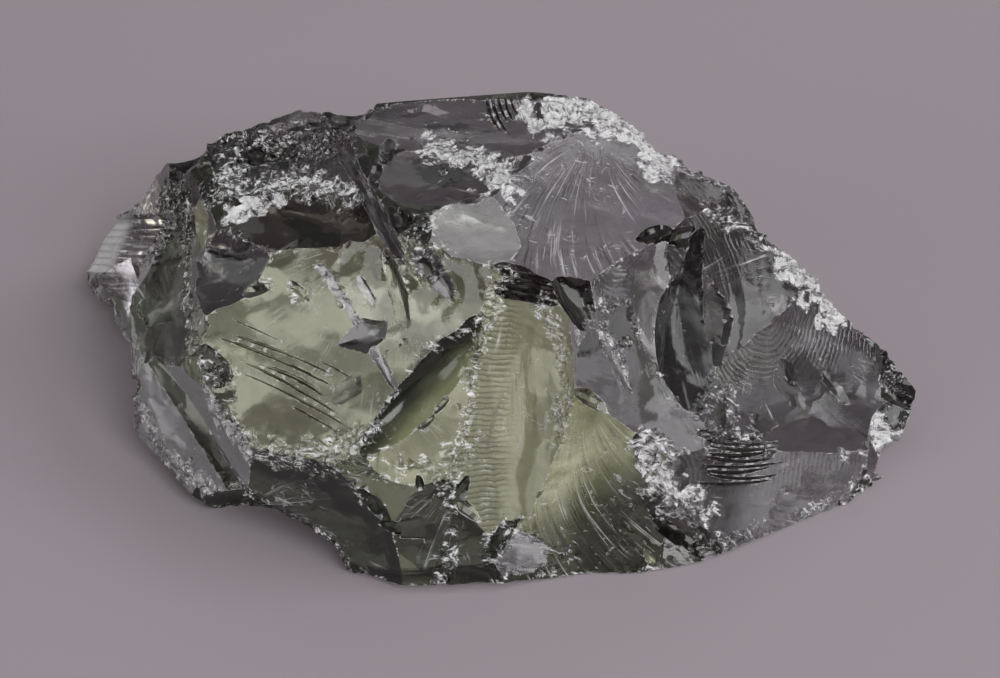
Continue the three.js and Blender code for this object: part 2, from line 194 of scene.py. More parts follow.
# Small flakes and splits, struck last.
splits = {
    "spear": scar((-14, 2, 33.6), (-52, 66, -17), (36, 1.8), 2.6, ripple=0, hackle=0, corners=0,
        tint="smoke"),
    "darkWedge": scar((18.3, -5.6, 20), (68, 42, 25), (19, 6), 1, ripple=0.04, hackle=0.15, corners=0.7,
        taper=-0.55, cell=0.2, tint="darkSmoke"),
    "eyeHigh": scar((16.2, 1.4, 28.9), (38, 55, -3), (4.8, 1.9), 0.7, corners=0.5, whole=True),
    "eyeLow": scar((19.3, 3, 26.7), (50, 45, -20), (4.6, 1.9), 0.6, corners=0.5, whole=True),
    "spineHole": scar((8.2, -10.6, 28.3), (66, 42, -86), (10, 4), 0.9, ripple=0.03, corners=0.7),
    "lobeSplit": scar((-32.6, -8, 11.6), (-39, 10, -29), (20, 3), 1.1, ripple=0.03, hackle=0.03,
        corners=0.7, tint="deepOlive"),
    "bowlRhomb": scar((-13.7, -9.5, 24), (-28, 42, 39), (5, 3.4), 0.5, ripple=0, hackle=0.03, corners=1,
        tint="smoke"),
    "darkPatch": scar((-29.8, -9.6, 19.3), (-22, 44, -38), (5, 3.4), 0.7, ripple=0, hackle=0.05, corners=1),
    "brownPatch": scar((-10.3, -2.2, 33.4), (-61, 60, -3), (4, 2.6), 0.7, ripple=0, hackle=0.03, corners=1),
    "shardHigh": scar((-10.7, -7.4, 28.5), (-30, 33, -55), (7.5, 2.2), 0.45, hackle=0.3, whole=True,
        cell=0.25, tint="paleOlive"),
    "shardMid": scar((-14, -6.4, 27.6), (-27, 35, -41), (6, 1.8), 0.4, hackle=0.3, whole=True, cell=0.25,
        tint="clear"),
    "shardLow": scar((-14.4, -9, 24.5), (-27, 42, -37), (12, 1.4), 0.35, hackle=0.3, corners=0.6,
        whole=True, cell=0.25, tint="lilac"),
    "shardRight": scar((-6.4, -8.2, 31.2), (-33, 28, -33), (7, 2.4), 0.5, hackle=0.3, whole=True, cell=0.25,
        tint="greyLilac"),
    "shardTop": scar((-7.6, -3.7, 34.1), (-48, 66, -55), (6, 1.8), 0.4, whole=True, cell=0.25),
    "twinPit": scar((-21, -4.9, 26), (-16, 38, -39), (3, 1.4), 0.3, ripple=0, hackle=0, corners=0.5,
        cell=0.25, tint="olive"),
    "spearTop": scar((-16.9, 11, 32.6), (-84.5, 66.2, 14), (20, 2), 1.4, ripple=0, corners=0,
        tint="greyLilac"),
    "darkHole": scar((-25.6, 13.2, 30.1), (-65, 72, 57), (8.5, 3.4), 0.8, hackle=0.05),
    "greenSliver": scar((-32.2, 6.7, 25.5), (-74, 27, -15), (6.5, 3), 0.5, corners=0.6, tint="paleOlive",
        milk=0.6),
    "darkFoot": scar((15, -17, 13.6), (10, 25, -85), (5.2, 2.6), 0.6, hackle=0.02),
    "holeRight": scar((9.4, -9.4, 27.6), (40, 32, -80), (5.6, 2.2), 0.6, hackle=0.1, corners=0.8,
        whole=True, cell=0.25),
    "bladeLeft": scar((7.9, -12.1, 27.6), (56, 28, 61), (4.6, 1.1), 0.3, hackle=0.15, corners=0.6,
        whole=True, cell=0.25, tint="lilac", milk=0.1),
    "bladeRight": scar((11.3, -10.3, 23.7), (52, 32, 79), (10.5, 1.7), 0.4, hackle=0.15, corners=0.5,
        whole=True, cell=0.25, tint="lilac", milk=0.1),
    "footFacet": scar((1.7, -21.6, 3.7), (20, 16, -8), (7.6, 5.2), 0.5, hackle=0.1, whole=True,
        tint="greyLilac", milk=0.1),
    "footSplit": scar((18.6, -17.4, 4.2), (20, 20, -50), (8, 2.6), 0.6, ripple=0.03, hackle=0.05,
        corners=0.7),
}

# Combs: a blow that shivered on its way leaves a row of small level grooves. first is the first of
# them, step leads from each to the next, stray is how uneven they are, and where the comb crosses a
# hollow, its middle grooves lie deeper by the sag.
combs = {
    "shelfFlutes": dict(
        # the dark lines between the flutes are painted shade, and the milky white at their outer ends is
        # partly frost and partly a painted highlight
        first=scar((-43.8, 18.1, 9.75), (-86, 37, 45), (20, 1.4), 0.3, shade=(90, 0.2, 0.5, 0.45),
            bleach=(180, 1.5, 5.4, 1.3)),
        step=(0.34, 0.66, 0.51), count=7),
    "spineRungs": dict(
        first=scar((2.4, -8.9, 32.6), (3, 36, -12), (4.4, 0.8), 0.5, cell=0.2, tint="umber"),
        step=(0.05, -0.28, -0.72), count=5, stray=0.4),
    "crownBars": dict(
        first=scar((-1.2, 14, 35.4), (-24, 55, -52), (4.2, 0.42), 0.35, bend=1.5, cell=0.25, tint="umber"),
        step=(0.68, -0.12, 0.12), count=5, stray=0.3),
    "bowlLines": dict(
        first=scar((-22.4, -8.5, 22), (-18, 48, -12), (7.5, 0.34), 0.2, bend=-0.9, cell=0.25, tint="olive"),
        step=(0.1, -0.86, -0.65), count=7, sag=0.55, stray=1.4),
    "zebra": dict(
        first=scar((24.6, -11.6, 12), (42, 38, -28), (6.6, 0.3), 0.15, bend=1.2, cell=0.25, tint="umber"),
        step=(0, -0.24, -0.61), count=10, stray=0.5),
}

# How far a groove of a comb may be off at a stray of 1.
uneven = {
    "slide": 1.6,  # along its length, mm
    "spin": 3,  # degrees
    "length": 0.35,  # longer or shorter, over its length
    "width": 0.3,  # and thinner as it is longer, over its width
    "seed": 5,
}

flake = {
    "reach": 1.5,  # how far past its mouth a hollow goes on rising, in half mouths
    "skirt": 0.12,  # and how far past that its steep side goes
    "wall": 80.0,  # how fast that side rises, mm per half mouth
    "height": 14.0,  # what lies over a scar is gone to this height, mm
    "twoLobes": 0.07,  # how far a mouth's radius swells and shrinks, in two lobes
    "threeLobes": 0.05,  # and in three
    "fray": 0.035,  # how far its rim wanders, over half the mouth
    "frayLength": 3.0,  # mm
    "roll": 0.16,  # height of the slow rolls of every break, mm
    "rollLength": 10.0,
    "rollWidth": 8,  # half a mouth's width from which they reach that height, mm
    "blowOut": 1.05,  # the tool lands this far out, in half mouths
    "ripple": 0.3,  # height of shell waves of strength 1, mm
    "rippleLength": 2.6,  # from one wave to the next, mm
    "rippleSway": 1.6,  # how uneven they are, radians
    "hackle": 0.35,  # height of feather lines of strength 1, mm
    "hackleGap": 1.1,  # between them half a mouth from the blow, mm
    "hackleSway": 2.2,  # radians
    "hackleStart": 1.2,  # they begin this far from the blow, in half widths
    "swayLength": 6,  # mm
    "patchLength": 11,  # from one patch of feather lines to the next, mm
    "cell": 1.6,  # the grid's step for a scar's cell of 1, mm
    "fewest": 6,  # steps across it
}

# What chips and flats have in common: their aim is off by up to stray degrees.
usualChip = dict(usual, ripple=0.03, hackle=0.1, corners=0.9, cell=0.32)
stray = 10

# Chips knocked off the ridges, spread along them by their length.
chips = {
    "count": 150,
    "sharpness": 24,  # degrees between the faces that meet, at the least
    "length": (1.8, 6.5),  # shortest and longest mouth, mm
    "slimness": 0.38,  # mouth width over its length
    "depth": 0.16,  # over the mouth length
    "floor": 0.6,  # none is knocked off lower than this, mm
    "beside": 0.3,  # a chip has the colour of the break this far under the ridge, mm
    "seed": 7,
}

# Shallow flats inside the big scars, where the break changed its mind.
flats = {
    "count": 38,
    "tries": 4,  # places tried for each
    "length": (3.5, 8.5),  # mm
    "slimness": (0.35, 0.9),
    "depth": 0.025,  # over the mouth length
    "clearance": 0.62,  # from the nearest ridge, over the mouth length
    "floor": 2,  # mm
    "seed": 12,
}

# Where the glass is bruised white: along every ridge, and in wider patches round these places.
crush = {
    "ridge": 15,  # degrees between the faces that meet, at the least
    # the thin white line along the very edge is a painted highlight
    "edge": 26,  # and where the very edge shows as a thin white line
    "edgeMouth": 7.5,  # round mouths longer than this, mm
    "width": (0.12, 0.95),  # narrowest and widest bruise along a ridge, mm
    "patchLength": 15,  # from one wide stretch to the next, mm
    "biteLength": 1.7,  # and from one small bite in its side to the next
    "faint": (0.2, 0.5),  # a bruise this narrow doesn't show, and shows in full this much wider, mm
    "ragged": ((0.5, 2), (0.45, 6)),  # how far a patch's rim wanders, over its spread, and its length, mm
    "rim": 1.2,  # a patch fades out at this share of its spread
    "gain": 1.6,
    "crumb": 0.6,  # size of the broken facets, mm
    "depth": 0.34,  # how far the facets go in, mm
    "slope": 0.5,  # how steep they lie
    "jitter": 0.05,  # mm
    "fullWidth": 1.5,  # bruises narrower than this are shallower, mm
    "cell": 0.42,  # longest edge there, mm
    "rounds": 2,  # of halving the edges
    "white": 0.2,  # how white the ridges are
    "whiteGain": 1.25,
    "sheen": 0.6,  # how far crumbs differ in whiteness
    "clearShare": 0.6,  # of the crumbs stay clearer than their ridge
    "least": 0.1,  # glass crushed less than this shows no white
    "smooth": 0.15,  # and less than this is shaded smooth
    "sharp": 22,  # but not over a fold of more degrees than this
    "touching": 0.001,  # a point this near the end of an edge is on it, mm
    "seed": 31,
}

# How far each spreads, in mm, how white it is, and x, y, z along it in the block's frame. Most are
# crushed glass; the top edge, the white spot and the right glint are painted highlights instead, and
# the flutes are partly one.
bruises = {
    "spine": (1.2, 0.25, [(0, -9.6, 32.2), (-1.8, -12.8, 27.1), (-3.3, -16.9, 19), (-4.9, -21.4, 13.3),
        (-5.6, -22.6, 5.7)]),
    "spineFoot": (0.9, 0.3, [(-5.6, -22.2, 6), (-6, -22.6, 1)]),
    "ladderEdge": (1, 0.3, [(4.1, -10.5, 29.8), (6.1, -13.5, 25.7), (6.7, -16.3, 21.3),
        (5.8, -17.6, 16.8)]),
    "centre": (0.8, 0.6, [(5.3, -12.4, 26.8), (6.4, -13, 26.6)]),
    "topCrush": (2.2, 0.8, [(-6.4, 10.1, 33.7), (-2.1, 7.3, 34.6), (0, 2.6, 34.9)]),
    # painted highlight: where the top edge glints
    "topEdge": (2.6, 1.1, [(4.9, 13, 35.1), (8.1, 14.9, 35), (13.4, 13.4, 34.3), (16.7, 11.4, 32)]),
    "rim": (1.7, 0.1, [(-34.5, 11.9, 24.8), (-37.3, 15.3, 22), (-39.2, 14.3, 15.6)]),
    "innerRim": (1.1, 0.2, [(-34.5, 11.9, 24.8), (-34, 5.1, 21.9), (-32.8, -4.5, 20.4),
        (-29.8, -10.9, 18.3)]),
    "bowlFoot": (1.5, 0.4, [(-29.9, -11.3, 16.6), (-26, -16.3, 14.1), (-20.6, -18.3, 15.3),
        (-15.4, -19.4, 17.2)]),
    "lowBand": (1, 0.2, [(-26, -16.3, 14.1), (-17.6, -19.2, 14.1), (-8.2, -19.9, 15.6),
        (-5.1, -21.2, 14.3)]),
    "hollowBrow": (2, 0.5, [(-28.4, 14.6, 29.6), (-30.1, 8, 28.6), (-22.5, 8.5, 30.5), (-15.8, 3.9, 32.6)]),
    # painted highlight: a white glint
    "glintSpot": (2.3, 2, [(-27.6, 5.6, 28.8), (-25.6, 5.8, 29)]),
    "upperLeft": (2.4, 0.2, [(-28.4, 14.6, 29.6), (-22.8, 14.3, 31.2), (-19, 12, 32.2)]),
    "lensEdge": (0.5, 0.3, [(-3, -12.5, 27.7), (-8.2, -12.4, 24.7), (-13.1, -18.1, 18)]),
    "lensFoot": (0.8, 0.3, [(-1.8, -12.8, 27.1), (-3.3, -16.9, 19), (-6.2, -20.6, 14.8)]),
    "rightEdge": (1, 0.35, [(23.1, 7, 26.7), (27.2, 8.1, 23.7), (31.7, 6.7, 20.3)]),
    # painted highlight: a white glint
    "rightGlint": (2.4, 2, [(31.7, 6.7, 20.3), (34.1, 5.4, 18.8), (36.4, 5.6, 15)]),
    "lowEdge": (1, 0.2, [(14.9, -20.5, 0.7), (21.4, -17.9, 1.7), (28.2, -14.3, 0.4), (35, -10.6, 0.6),
        (41, -6.5, 2.2)]),
    "foot": (1.9, 0.7, [(16.1, -16.9, 14), (17.7, -17.4, 9), (21.3, -16.1, 5.8)]),
    "lobe": (1.3, 0.35, [(-39.5, -2.5, 8.3), (-36.1, -7.2, 3.7), (-30.7, -12.7, 4.9)]),
    "flutes": (0.9, 0.5, [(-44.5, 19.2, 14), (-46.5, 19.8, 11.5), (-48.2, 20.4, 8)]),
    "tip": (1.5, 0.15, [(44.4, 4.9, 5.9), (43.7, 3.4, 5.8)]),
    "tipScar": (1.6, 0.9, [(42.8, -2.1, 3.3), (43, -4, 2)]),
    "fanFoot": (0.8, 0.2, [(7.5, -19.8, 3), (4.5, -21, 1)]),
}


def meshObject(name, points, faces):
    mesh = bpy.data.meshes.new(name)
    mesh.from_pydata(points.tolist(), [], faces)
    return bpy.data.objects.new(name, mesh)


def addMark(mesh, name, kind, domain, values):
    # keeps a number, place or colour with every point, face or corner, for the material to read
    field = {"FLOAT_VECTOR": "vector", "FLOAT_COLOR": "color"}.get(kind, "value")
    numbers = np.asarray(values, dtype=np.int32 if kind == "INT" else np.float32)
    mesh.attributes.new(name, kind, domain).data.foreach_set(field, numbers.ravel())


def slowWaves(points, length, seed):
    # smooth random heights between about -1 and 1, the sum of a few plane waves
    random = np.random.default_rng(seed)
    total = np.zeros(len(points))
    waves = 7
    for _ in range(waves):
        way = random.normal(size=3)
        way *= 2 * math.pi / (length * random.uniform(0.7, 1.5) * np.linalg.norm(way))
        total += np.sin(points @ way + random.uniform(0, 2 * math.pi))
    return total / (waves / 2)


def nearest(points, places):
    # for each point, which of the places is nearest, and how far off it is
    tree = kdtree.KDTree(len(places))
    for index, place in enumerate(places):
        tree.insert(place, index)
    tree.balance()
    found = [tree.find(point) for point in points]
    return np.array([index for _, index, _ in found]), np.array([distance for _, _, distance in found])


def fromPath(points, path):
    # distance from each point to a line of joined stretches
    path = np.array(path) - block["middle"]
    distance = np.full(len(points), np.inf)
    for start, end in zip(path[:-1], path[1:]):
        run = end - start
        along = np.clip((points - start) @ run / (run @ run), 0, 1)
        distance = np.minimum(distance, np.linalg.norm(points - start - along[:, None] * run, axis=1))
    return distance


def scarFrame(scar):
    # along its length, across it, and out of the glass
    bearing, lift, turn = (math.radians(angle) for angle in scar["aim"])
    out = np.array([math.sin(bearing) * math.cos(lift), -math.cos(bearing) * math.cos(lift),
                    math.sin(lift)])
    across = np.cross([0, 0, 1], out)
    across /= np.linalg.norm(across)
    up = np.cross(out, across)
    return (math.cos(turn) * across + math.sin(turn) * up,
            math.cos(turn) * up - math.sin(turn) * across, out)


def markFlake(mesh, number, grain):
    # every face keeps the number of its blow, and every corner its place round that blow
    addMark(mesh, "blow", "INT", "FACE", [number] * len(mesh.polygons))
    corners = np.empty(len(mesh.loops), dtype=int)
    mesh.loops.foreach_get("vertex_index", corners)
    addMark(mesh, "grain", "FLOAT_VECTOR", "CORNER", grain[corners])


def angular(u, v, seed):
    # like the distance from the middle, but level along a ring of five or six straight sides
    random = np.random.default_rng(seed)
    sides = random.integers(5, 7)
    ways = (np.arange(sides) + random.uniform(-0.3, 0.3, sides)) * 2 * math.pi / sides
    reaches = random.uniform(0.75, 1.05, sides)
    return np.max((np.outer(np.cos(ways), u) + np.outer(np.sin(ways), v)) / reaches[:, None], axis=0)


def hollow(scar, number, u, v):
    # the break itself, over the plane of its mouth (u and v are in half mouths), and each point's
    # place round the blow: which feather line, how far out, and how far across the mouth
    halfLength, halfWidth = scar["mouth"][0] / 2, scar["mouth"][1] / 2
    size, seed = min(halfLength, halfWidth), 10 * number
    x, y = u * halfLength, (v + scar["bend"] * u * u) * halfWidth * (1 + scar["taper"] * u)
    flat = np.stack([x, y, np.zeros_like(x)], 1)
    angle, phase = np.arctan2(v, u), scar["at"][0]
    swell = 1 + flake["twoLobes"] * np.sin(2 * angle + phase)
    swell += flake["threeLobes"] * np.sin(3 * angle - 2 * phase)
    s = angular(u, v, number) * scar["corners"] + np.hypot(u, v) / swell * (1 - scar["corners"])
    s *= 1 + flake["fray"] * slowWaves(flat, flake["frayLength"], seed + 3)
    blow = math.radians(scar["blow"])
    dx = flake["blowOut"] * halfLength * math.cos(blow) - x
    dy = flake["blowOut"] * halfWidth * math.sin(blow) - y
    far = np.hypot(dx, dy)
    bearing = np.arctan2(dy * math.cos(blow) - dx * math.sin(blow),
                         dx * math.cos(blow) + dy * math.sin(blow)) + scar["curl"] * far / size
    sway = slowWaves(flat, flake["swayLength"], seed)
    ripple = np.sin(2 * math.pi * far / flake["rippleLength"] + flake["rippleSway"] * sway)
    lines = bearing * 2 * size / flake["hackleGap"]
    feather = 1 - np.sqrt(np.abs(np.sin(lines * math.pi + flake["hackleSway"] * sway)))
    patch = np.clip(0.5 + 0.9 * slowWaves(flat, flake["patchLength"], seed + 1), 0, 1)
    begun = np.clip(far / size - flake["hackleStart"], 0, 1)
    z = -scar["depth"] * (1 - s * s) + flake["ripple"] * scar["ripple"] * ripple
    z += flake["hackle"] * scar["hackle"] * feather * patch * begun
    z += flake["roll"] * min(1, size / flake["rollWidth"]) * slowWaves(flat, flake["rollLength"], seed + 2)
    z += flake["wall"] * np.clip(s - flake["reach"], 0, None)
    return x, y, z, np.stack([lines + 40 * number, far, y], 1)


def makeFlake(name, scar, number):
    # a lid whose underside is the hollow: a grid of points, lifted at its rim and closed by an apex
    edge = flake["reach"] + flake["skirt"]
    cell = flake["cell"] * scar["cell"]
    columns, rows = (max(flake["fewest"], round(edge * mouth / cell)) for mouth in scar["mouth"])
    u, v = np.meshgrid(np.linspace(-edge, edge, columns + 1), np.linspace(-edge, edge, rows + 1))
    x, y, z, grain = hollow(scar, number, u.ravel(), v.ravel())
    along, aside, out = scarFrame(scar)
    at = np.array(scar["at"]) - block["middle"]
    points = at + np.outer(x, along) + np.outer(y, aside) + np.outer(z, out)
    apex = at + (flake["height"] + z.max()) * out
    corner = np.arange(rows)[:, None] * (columns + 1) + np.arange(columns)
    quads = np.stack([corner, corner + columns + 1, corner + columns + 2, corner + 1], -1).reshape(-1, 4)
    rim = np.concatenate([np.arange(columns), columns + np.arange(rows) * (columns + 1),
                          (rows + 1) * (columns + 1) - 1 - np.arange(columns),
                          (rows - np.arange(rows)) * (columns + 1)])
    lid = [[a, b, len(points)] for a, b in zip(rim.tolist(), np.roll(rim, -1).tolist())]
    piece = meshObject(name, np.vstack([points, apex]) * mm, quads.tolist() + lid)
    markFlake(piece.data, number, np.vstack([grain, [0, 0, 0]]))
    return piece


def makeBlock():
    form = bmesh.new()
    for corner in block["corners"]:
        form.verts.new((np.array(corner) - block["middle"]) * mm)
    bmesh.ops.convex_hull(form, input=form.verts)
    mesh = bpy.data.meshes.new("block")
    form.to_mesh(mesh)
    form.free()
    markFlake(mesh, 0, np.zeros((len(mesh.vertices), 3)))
    return mesh


def struck(mesh, blows, firstNumber):
    # takes a flake off for every blow, all at once, and gives back what is left, in triangles
    struckOff = bpy.data.collections.new("flakes")
    scene = bpy.context.scene.collection
    scene.children.link(struckOff)
    flakes = [makeFlake("flake", scar, firstNumber + index) for index, scar in enumerate(blows)]
    for piece in flakes:
        struckOff.objects.link(piece)
    stone = bpy.data.objects.new("block", mesh)
    scene.objects.link(stone)
    cut = stone.modifiers.new("flakes", "BOOLEAN")
    cut.operation, cut.operand_type, cut.solver = "DIFFERENCE", "COLLECTION", "MANIFOLD"
    cut.collection = struckOff
    left = bpy.data.meshes.new_from_object(stone.evaluated_get(bpy.context.evaluated_depsgraph_get()))
    for piece in [*flakes, stone]:
        bpy.data.objects.remove(piece)
    bpy.data.collections.remove(struckOff)
    form = bmesh.new()
    form.from_mesh(left)
    bmesh.ops.triangulate(form, faces=form.faces)
    form.to_mesh(left)
    form.free()
    return left


def readMesh(mesh):
    # points in mm, triangles, and the number of the blow that left each
    points = np.empty(len(mesh.vertices) * 3)
    mesh.vertices.foreach_get("co", points)
    faces = np.empty(len(mesh.loops), dtype=int)
    mesh.loops.foreach_get("vertex_index", faces)
    numbers = np.empty(len(mesh.polygons), dtype=int)
    mesh.attributes["blow"].data.foreach_get("value", numbers)
    return points.reshape(-1, 3) / mm, faces.reshape(-1, 3), numbers


def normalsOf(points, faces):
    a, b, c = (points[faces[:, k]] for k in range(3))
    normal = np.cross(b - a, c - a)
    return normal / np.maximum(np.linalg.norm(normal, axis=1), 1e-12)[:, None]


def ridgesOf(points, faces, numbers, sharpness):
    # edges that stand proud between two scars: their ends, and the way they point
    normal = normalsOf(points, faces)
    start, end = faces.ravel(), np.roll(faces, -1, axis=1).ravel()
    face = np.repeat(np.arange(len(faces)), 3)
    key = np.minimum(start, end) * len(points) + np.maximum(start, end)
    order = np.argsort(key, kind="stable")
    pairs = order[:-1][key[order][:-1] == key[order][1:]]
    mates = order[1:][key[order][:-1] == key[order][1:]]
    first, second = face[pairs], face[mates]
    middle = (points[start[pairs]] + points[end[pairs]]) / 2
    inner = points[faces[second]].mean(axis=1) - middle
    proud = (inner * normal[first]).sum(axis=1) < 0
    fold = (normal[first] * normal[second]).sum(axis=1) < math.cos(math.radians(sharpness))
    keep = proud & fold & (numbers[first] != numbers[second])
    mean = normal[first] + normal[second]
    mean /= np.maximum(np.linalg.norm(mean, axis=1), 1e-12)[:, None]
    return points[start[pairs]][keep], points[end[pairs]][keep], mean[keep]


def smallScar(at, normal, length, slimness, depth, random, tint):
    x, y, z = normal
    return dict(usualChip, at=at + block["middle"], mouth=(length, length * slimness), depth=length * depth,
                aim=(math.degrees(math.atan2(x, -y)) + random.uniform(-stray, stray),
                     math.degrees(math.asin(z)) + random.uniform(-stray, stray), random.uniform(0, 180)),
                blow=random.uniform(0, 360), tint=tint)


def flatScars(points, faces, numbers, blows):
    random = np.random.default_rng(flats["seed"])
    starts, ends, _ = ridgesOf(points, faces, numbers, crush["ridge"])
    places, normals = points[faces].mean(axis=1), normalsOf(points, faces)
    a, b, c = (points[faces[:, k]] for k in range(3))
    area = np.linalg.norm(np.cross(b - a, c - a), axis=1) * (places[:, 2] > flats["floor"])
    picks = random.choice(len(faces), flats["tries"] * flats["count"], p=area / area.sum())
    _, clearance = nearest(places[picks], (starts + ends) / 2)
    made = 0
    for face, gap in zip(picks, clearance):
        length = random.uniform(*flats["length"])
        parent = blows[numbers[face]]
        if gap > flats["clearance"] * length and made < flats["count"] and not parent["whole"]:
            made += 1
            yield smallScar(places[face], normals[face], length, random.uniform(*flats["slimness"]),
                            flats["depth"], random, parent["tint"])


def chipScars(points, faces, numbers, blows):
    random = np.random.default_rng(chips["seed"])
    starts, ends, means = ridgesOf(points, faces, numbers, chips["sharpness"])
    high = np.minimum(starts[:, 2], ends[:, 2]) > chips["floor"]
    starts, ends, means = starts[high], ends[high], means[high]
    lengths = np.linalg.norm(ends - starts, axis=1)
    picks = random.choice(len(starts), chips["count"], p=lengths / lengths.sum())
    face, _ = nearest(starts[picks] - chips["beside"] * means[picks], points[faces].mean(axis=1))
    short, long = chips["length"]
    for ridge, beside in zip(picks, face):
        # the square makes most of them short
        yield smallScar((starts[ridge] + ends[ridge]) / 2, means[ridge],
                        short + (long - short) * random.random() ** 2, chips["slimness"],
                        chips["depth"], random, blows[numbers[beside]]["tint"])


def grooves():
    random = np.random.default_rng(uneven["seed"])
    for comb in combs.values():
        first = dict(usual, **comb["first"])
        along, _, out = scarFrame(first)
        bearing, lift, turn = first["aim"]
        length, width = first["mouth"]
        for groove in range(comb["count"]):
            sag = comb.get("sag", 0) * math.sin(math.pi * groove / (comb["count"] - 1))
            slide, spin, stretch = comb.get("stray", 0) * random.uniform(-1, 1, 3)
            at = np.array(first["at"]) + groove * np.array(comb["step"]) - sag * out
            yield dict(first, at=at + uneven["slide"] * slide * along,
                       aim=(bearing, lift, turn + uneven["spin"] * spin),
                       mouth=(length * (1 + uneven["length"] * stretch),
                              width * (1 - uneven["width"] * stretch)))


def knapped():
    # the big scars first, then what was knocked off their ridges, then the splits and combs; gives
    # the mesh, and every blow by its number, 0 being the skin of the rough block
    blows = [dict(usual, tint=block["tint"], mouth=(0, 0))]
    blows += [*(dict(usualScar, **scar) for scar in scars.values()), rest]
    mesh = struck(makeBlock(), blows[1:], 1)
    print("struck:", len(blows) - 1, "scars,", len(mesh.polygons), "triangles")
    form = readMesh(mesh)
    small = [*flatScars(*form, blows), *chipScars(*form, blows),
             *(dict(usualSplit, **scar) for scar in splits.values()), *grooves()]
    mesh = struck(mesh, small, len(blows))
    print("chipped:", len(small), "small scars,", len(mesh.polygons), "triangles")
    return mesh, blows + small


def bruise(points, faces, numbers):
    # how crushed the glass is at each point, 0 to 1, how wide the bruise is there, and how white, from
    # crushing and from the painted highlights of the glint patches
    starts, ends, _ = ridgesOf(points, faces, numbers, crush["ridge"])
    _, distance = nearest(points, (starts + ends) / 2)
    narrow, wide = crush["width"]
    faint, more = crush["faint"]
    seed = crush["seed"]
    swell = np.clip(0.25 + 0.8 * slowWaves(points, crush["patchLength"], seed), 0, 1) ** 2
    bites = 1 + 0.5 * slowWaves(points, crush["biteLength"], seed + 1)
    reach = (narrow + (wide - narrow) * swell) * bites
    amount = (1 - distance / reach) * np.clip((reach - faint) / more, 0, 1)
    frost = np.full(len(points), crush["white"])
    (fine, fineLength), (coarse, coarseLength) = crush["ragged"]
    ragged = 1 + fine * slowWaves(points, fineLength, seed + 2)
    ragged += coarse * slowWaves(points, coarseLength, seed + 4)
    for spread, white, path in bruises.values():
        patch = crush["rim"] - fromPath(points, path) / (spread * np.maximum(ragged, 0.05))
        reach = np.where(patch > amount, spread, reach)
        frost = np.where(patch > amount, white, frost)
        amount = np.maximum(amount, patch)
    return np.clip(crush["gain"] * amount, 0, 1), reach, frost


def refine(mesh):
    # halves the long edges of the crushed places
    amount, _, _ = bruise(*readMesh(mesh))
    form = bmesh.new()
    form.from_mesh(mesh)
    edges = [edge for edge in form.edges if edge.calc_length() > crush["cell"] * mm
             and max(amount[edge.verts[0].index], amount[edge.verts[1].index]) > crush["least"] / 2]
    bmesh.ops.subdivide_edges(form, edges=edges, cuts=1)
    bmesh.ops.triangulate(form, faces=form.faces)
    form.to_mesh(mesh)
    form.free()


def crumble(mesh, points, faces, amount, reach):
    # pushes the crushed places in, each crumb of the break as a flat of its own, and gives the
    # points' new places and each face's sheen, 0 to 1
    normals = np.empty(len(points) * 3)
    mesh.vertices.foreach_get("normal", normals)
    random = np.random.default_rng(crush["seed"] + 3)
    low, high = points.min(axis=0), points.max(axis=0)
    seeds = random.uniform(low, high, size=(int(np.prod(high - low) / crush["crumb"] ** 3), 3))
    _, gap = nearest(seeds, points[amount > 0][::3])
    seeds = seeds[gap < crush["crumb"] * 1.5]
    crumb, _ = nearest(points, seeds)
    slope = random.normal(size=(len(seeds), 3)) * crush["slope"]
    base, sheen = random.uniform(0, 1, (2, len(seeds)))
    inward = base[crumb] * crush["depth"] + ((points - seeds[crumb]) * slope[crumb]).sum(axis=1)
    inward += random.uniform(-1, 1, len(points)) * crush["jitter"]
    inward = np.clip(inward, 0, 2 * crush["depth"]) * np.minimum(1, reach / crush["fullWidth"])
    moved = points - normals.reshape(-1, 3) * (inward * amount)[:, None]
    moved[:, 2] = np.maximum(moved[:, 2], 0)
    mesh.vertices.foreach_set("co", (moved * mm).ravel())
    return moved, sheen[crumb[faces[:, 0]]]


def graded(places, numbers, blows, key):
    # some breaks change across their face, in painted shade and in milk: how far each place has changed, 0
    # to 1, and into what
    fade, most = np.zeros(len(places)), np.ones(len(places))
    for number, scar in enumerate(blows):
        if key in scar:
            angle, start, end, amount = scar[key]
            along, aside, _ = scarFrame(scar)
            way = math.cos(math.radians(angle)) * along + math.sin(math.radians(angle)) * aside
            here = numbers == number
            place = (places[here] + block["middle"] - scar["at"]) @ way
            rise = np.clip((place - start) / (end - start), 0, 1)
            fade[here], most[here] = rise * rise * (3 - 2 * rise), amount
    return fade, most


def markFaces(mesh, points, faces, numbers, blows):
    # what each break's finish is, and its painted shade, for the material
    for name, key in (("feather", "hackle"), ("rungs", "rungs")):
        addMark(mesh, name, "FLOAT", "FACE", np.array([scar[key] for scar in blows])[numbers])
    corners, spots = np.repeat(numbers, 3), points[faces].reshape(-1, 3)
    milk = np.array([scar["milk"] for scar in blows])[corners]
    fade, most = graded(spots, corners, blows, "bleach")
    addMark(mesh, "milk", "FLOAT", "CORNER", np.maximum(milk, fade * most * (fade > 0)))
    # the tint carries painted shade as well as the glass's colour
    shadedTint = np.array([linear(glassLook["tintsAndShades"][scar["tint"]]) for scar in blows])[corners]
    # painted shade: each such break's tint darkens towards one side
    fade, most = graded(spots, corners, blows, "shade")
    addMark(mesh, "tint", "FLOAT_COLOR", "CORNER", shadedTint * (most ** fade)[:, None])


